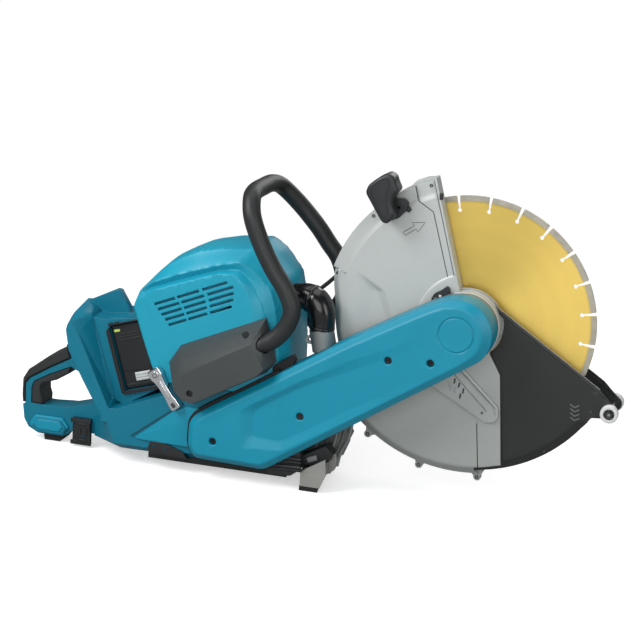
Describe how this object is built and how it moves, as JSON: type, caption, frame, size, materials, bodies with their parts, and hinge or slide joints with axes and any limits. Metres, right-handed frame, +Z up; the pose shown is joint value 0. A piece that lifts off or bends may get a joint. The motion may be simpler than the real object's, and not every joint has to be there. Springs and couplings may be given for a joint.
{
  "type": "rescue saw",
  "caption": "Battery power cutter with a segmented diamond blade, pivoting blade guard, belt arm, loop front handle and trigger grip.",
  "frame": {"origin": "centre of the front foot's underside; the ground is the plane z = 0", "axes": "+X from the rear handle towards the blade, +Y towards the machine's left side, +Z up; the blade turns about +Y"},
  "size_m": [0.8835, 0.216, 0.4565],
  "materials": {
    "black_plastic": "moulded, fine texture",
    "board": "circuit board",
    "casting": "as cast, satin",
    "charcoal_paint": "powder coat",
    "chrome": "polished",
    "copper": "enamelled winding",
    "blade_gold": "gold lacquer on steel, bare grey segments",
    "grey_plastic": "moulded, fine texture",
    "grip_rubber": "soft overmould",
    "rubber": "matt",
    "guard_silver": "satin silver paint",
    "steel": "turned",
    "teal_plastic": "moulded nylon with a fine texture",
    "pale_plastic": "moulded"
  },
  "bodies": {
    "saw": {"belt_cover": "teal_plastic", "cover_screw_1": "black_plastic", "cover_screw_2": "black_plastic", "cover_screw_3": "black_plastic", "cover_screw_4": "black_plastic", "arm_casting": "casting", "drive_belt": "rubber", "motor_stator": "copper", "spindle_bearing_outer": "steel", "spindle_bearing_inner": "steel", "upper_housing_right": "teal_plastic", "upper_housing_left": "teal_plastic", "motor_controller": "board", "lower_body_right": "teal_plastic", "lower_body_left": "teal_plastic", "rear_grip_outer": "grip_rubber", "rear_grip_inner": "grip_rubber", "bay_frame_right": "black_plastic", "bay_frame_left": "black_plastic", "front_handle": "black_plastic", "handle_bracket_right": "grey_plastic", "handle_bracket_left": "grey_plastic", "bracket_screw_1": "black_plastic", "bracket_screw_2": "black_plastic", "cable_spigot": "casting", "cable_boot": "rubber", "water_hose": "rubber", "front_stand": "casting", "front_foot": "rubber", "front_bumper": "charcoal_paint", "base_rail": "black_plastic", "rear_foot": "rubber", "side_clip": "black_plastic", "hose_clamp": "black_plastic"},
    "blade": {"spindle": "steel", "driven_pulley": "steel", "inner_flange": "steel", "outer_flange": "steel", "blade_bolt": "steel", "diamond_blade": "blade_gold"},
    "motor": {"motor_rotor": "steel", "motor_pulley": "steel"},
    "guard": {"guard_right_shell": "guard_silver", "guard_left_shell": "guard_silver", "front_guard_retainer": "steel", "guard_grip": "black_plastic", "water_nozzle": "black_plastic"},
    "front_guard": {"front_guard": "charcoal_paint", "roller_axle": "steel"},
    "roller_right": {"guard_roller_right": "pale_plastic"},
    "roller_left": {"guard_roller_left": "pale_plastic"},
    "trigger": {"trigger": "black_plastic"},
    "lock_off_lever": {"lock_off_lever": "black_plastic"},
    "battery_right": {"battery_right": "black_plastic"},
    "battery_left": {"battery_left": "black_plastic"},
    "battery_latch_right": {"battery_latch_right": "pale_plastic"},
    "battery_latch_left": {"battery_latch_left": "pale_plastic"},
    "power_button": {"power_button": "black_plastic"},
    "blade_wrench": {"blade_wrench": "chrome"}
  },
  "joints": [
    {"name": "blade_spin", "type": "hinge", "parent": "saw", "child": "blade", "pos_m": [0.2, 0, 0.257], "axis": [0, 1, 0], "continuous": true},
    {"name": "motor_spin", "type": "hinge", "parent": "saw", "child": "motor", "pos_m": [-0.088, 0, 0.084], "axis": [0, 1, 0], "continuous": true},
    {"name": "guard_turn", "type": "hinge", "parent": "saw", "child": "guard", "pos_m": [0.2, 0, 0.257], "axis": [0, 1, 0], "range_deg": [-25, 20]},
    {"name": "front_guard_retract", "type": "hinge", "parent": "guard", "child": "front_guard", "pos_m": [0.2, 0, 0.257], "axis": [0, 1, 0], "range_deg": [0, 40], "stiffness_Nm_per_rad": 6, "springref_deg": -34.38},
    {"name": "roller_right_spin", "type": "hinge", "parent": "front_guard", "child": "roller_right", "pos_m": [0.406, 0, 0.158], "axis": [0, 1, 0], "continuous": true},
    {"name": "roller_left_spin", "type": "hinge", "parent": "front_guard", "child": "roller_left", "pos_m": [0.406, 0, 0.158], "axis": [0, 1, 0], "continuous": true},
    {"name": "trigger_squeeze", "type": "hinge", "parent": "saw", "child": "trigger", "pos_m": [-0.346, 0, 0.126], "axis": [0, 1, 0], "range_deg": [0, 10]},
    {"name": "lock_off_press", "type": "hinge", "parent": "saw", "child": "lock_off_lever", "pos_m": [-0.3745, 0, 0.1495], "axis": [0, -1, 0], "range_deg": [0, 8]},
    {"name": "battery_right_slide", "type": "slide", "parent": "saw", "child": "battery_right", "axis": [0, -1, 0], "range_m": [0, 0.034]},
    {"name": "battery_left_slide", "type": "slide", "parent": "saw", "child": "battery_left", "axis": [0, 1, 0], "range_m": [0, 0.034]},
    {"name": "battery_latch_right_press", "type": "slide", "parent": "battery_right", "child": "battery_latch_right", "axis": [0, 1, 0], "range_m": [0, 0.003]},
    {"name": "battery_latch_left_press", "type": "slide", "parent": "battery_left", "child": "battery_latch_left", "axis": [0, -1, 0], "range_m": [0, 0.003]},
    {"name": "power_button_press", "type": "slide", "parent": "saw", "child": "power_button", "axis": [0, -1, 0], "range_m": [0, 0.003]},
    {"name": "blade_wrench_draw", "type": "slide", "parent": "saw", "child": "blade_wrench", "axis": [-0.5879, 0, 0.8089], "range_m": [0, 0.06]}
  ],
  "couplings": [
    {"joint": "motor_spin", "follows": "blade_spin", "ratio": 1.619}
  ]
}
